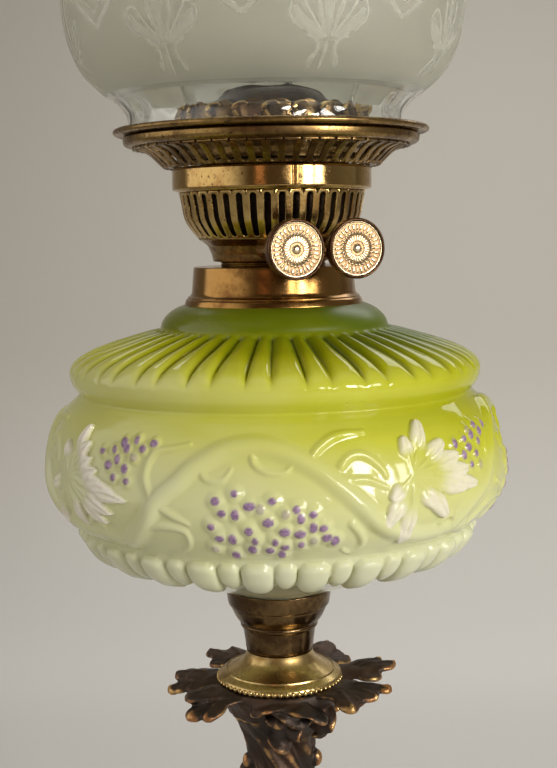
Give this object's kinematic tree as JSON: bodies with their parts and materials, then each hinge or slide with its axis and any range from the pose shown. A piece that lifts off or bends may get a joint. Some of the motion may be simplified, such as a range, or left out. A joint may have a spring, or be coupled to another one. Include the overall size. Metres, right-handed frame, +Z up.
{
  "type": "oil lamp",
  "caption": "Tall two-wick oil lamp: cast tree-trunk stand, glass oil font, brass burner with two wick winders, chimney and open-topped glass shade.",
  "frame": {"origin": "centre of the felt's underside, on the surface that the lamp stands on", "axes": "+Z up along the lamp's axis, -Y towards the front, with the winder knobs to the right of the front"},
  "size_m": [0.169, 0.169, 0.708],
  "materials": {
    "baize": "green wool baize",
    "bronze": "dark bronzed casting with edges rubbed golden",
    "iron": "rough cast",
    "steel": "plain threaded steel",
    "dark_brass": "turned brass with a dark brown patina",
    "pale_brass": "rubbed yellow brass",
    "brass": "polished brass with brown tarnish",
    "copper_brass": "warm coppery brass, polished",
    "plaster": "matt lamp plaster",
    "green_glass": "opaque cased glass, deep green at the neck fading to pale green-white",
    "clear_glass": "clear blown glass",
    "etched_glass": "acid-etched frosted glass with a clear foot",
    "cotton": "woven cotton wick"
  },
  "bodies": {
    "stand": {"felt_pad": "baize", "foot_casting": "bronze", "foot_weight": "iron", "trunk_casting": "bronze", "leaf_crown": "bronze", "vase_cap": "pale_brass", "tie_rod": "steel", "foot_washer": "steel", "foot_nut": "steel", "cap_nut": "brass"},
    "font": {"font_undermount": "dark_brass", "undermount_plaster": "plaster", "font_glass": "green_glass", "collar_plaster": "plaster", "font_collar": "copper_brass"},
    "burner": {"burner_neck": "brass", "tube_plate": "brass", "burner_basket": "brass", "air_diffuser": "brass", "wick_tube_right": "brass", "wick_tube_left": "brass", "spindle_bush_right": "brass", "spindle_bush_left": "brass"},
    "winder_right": {"spindle_right": "brass", "spur_front_right": "brass", "spur_back_right": "brass", "winder_knob_right": "dark_brass", "knob_face_right": "pale_brass"},
    "winder_left": {"spindle_left": "brass", "spur_front_left": "brass", "spur_back_left": "brass", "winder_knob_left": "dark_brass", "knob_face_left": "pale_brass"},
    "wick_right": {"wick_right": "cotton"},
    "wick_left": {"wick_left": "cotton"},
    "gallery": {"gallery_band": "brass", "gallery_flare": "brass", "shade_dish": "brass", "chimney_crown": "brass", "burner_cone": "brass"},
    "chimney": {"chimney": "clear_glass"},
    "shade": {"shade": "etched_glass"}
  },
  "joints": [
    {"name": "font_unscrew", "type": "hinge", "parent": "stand", "child": "font", "pos_m": [0, 0, 0.28], "axis": [0, 0, 1], "continuous": true},
    {"name": "burner_lift", "type": "slide", "parent": "font", "child": "burner", "axis": [0, 0, 1], "range_m": [0, 0.12]},
    {"name": "winder_right_turn", "type": "hinge", "parent": "burner", "child": "winder_right", "pos_m": [0.01029, 0.00416, 0.4235], "axis": [0.3746, -0.9272, 0], "range_deg": [-118.5, 237]},
    {"name": "winder_left_turn", "type": "hinge", "parent": "burner", "child": "winder_left", "pos_m": [-0.01029, -0.00416, 0.4235], "axis": [0.3746, -0.9272, 0], "range_deg": [-237, 118.5]},
    {"name": "wick_right_feed", "type": "slide", "parent": "burner", "child": "wick_right", "axis": [0, 0, 1], "range_m": [-0.0122, 0.0062]},
    {"name": "wick_left_feed", "type": "slide", "parent": "burner", "child": "wick_left", "axis": [0, 0, 1], "range_m": [-0.0122, 0.0062]},
    {"name": "gallery_lift", "type": "slide", "parent": "burner", "child": "gallery", "axis": [0, 0, 1], "range_m": [0, 0.03]},
    {"name": "chimney_lift", "type": "slide", "parent": "gallery", "child": "chimney", "axis": [0, 0, 1], "range_m": [0, 0.04]},
    {"name": "shade_lift", "type": "slide", "parent": "gallery", "child": "shade", "axis": [0, 0, 1], "range_m": [0, 0.06]}
  ],
  "couplings": [
    {"joint": "wick_right_feed", "follows": "winder_right_turn", "m_per_rad": -0.0029},
    {"joint": "wick_left_feed", "follows": "winder_left_turn", "m_per_rad": 0.0029}
  ]
}
